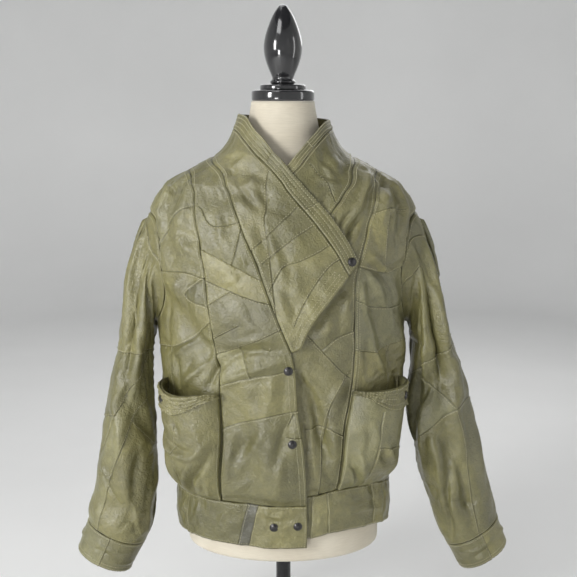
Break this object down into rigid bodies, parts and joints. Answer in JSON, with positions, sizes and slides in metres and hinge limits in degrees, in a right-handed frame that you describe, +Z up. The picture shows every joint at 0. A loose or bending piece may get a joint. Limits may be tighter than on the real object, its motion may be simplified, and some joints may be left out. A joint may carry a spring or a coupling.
{
  "type": "leather patchwork jacket on a dress form",
  "caption": "Olive leather patchwork jacket with a wrapped shawl lapel, pouch pockets, cuffs and a waistband, worn by a limbless linen dress form on a round black base.",
  "frame": {"origin": "centre of the base's flat underside", "axes": "+Z up; the jacket's front looks along -Y; +X is the wearer's left"},
  "size_m": [0.781, 0.32, 1.2023],
  "materials": {
    "olive_leather": "semi-gloss",
    "linen": "matte",
    "black_gloss": "gloss",
    "black_metal": "satin",
    "bronze": "dark aged"
  },
  "bodies": {
    "root": {"right_front_side": "olive_leather", "right_front_centre": "olive_leather", "left_front_side": "olive_leather", "left_front_centre": "olive_leather", "right_lapel_collar": "olive_leather", "left_lapel_collar": "olive_leather", "right_edge_band": "olive_leather", "left_edge_band": "olive_leather", "back": "olive_leather", "back_collar": "olive_leather", "waistband_right_front": "olive_leather", "waistband_left_front": "olive_leather", "waistband_back": "olive_leather", "right_sleeve": "olive_leather", "left_sleeve": "olive_leather", "right_cuff": "olive_leather", "left_cuff": "olive_leather", "right_pocket": "olive_leather", "left_pocket": "olive_leather", "right_pocket_band": "olive_leather", "left_pocket_band": "olive_leather", "snap_lapel": "bronze", "snap_front_upper": "bronze", "snap_front_lower": "bronze", "snap_waist_inner": "bronze", "snap_waist_outer": "bronze", "snap_right_pocket": "bronze", "snap_left_pocket": "bronze", "dress_form_torso": "linen", "neck_cap_lower": "black_gloss", "neck_cap_upper": "black_gloss", "finial": "black_gloss", "pole": "black_metal", "base": "black_metal"}
  },
  "joints": []
}
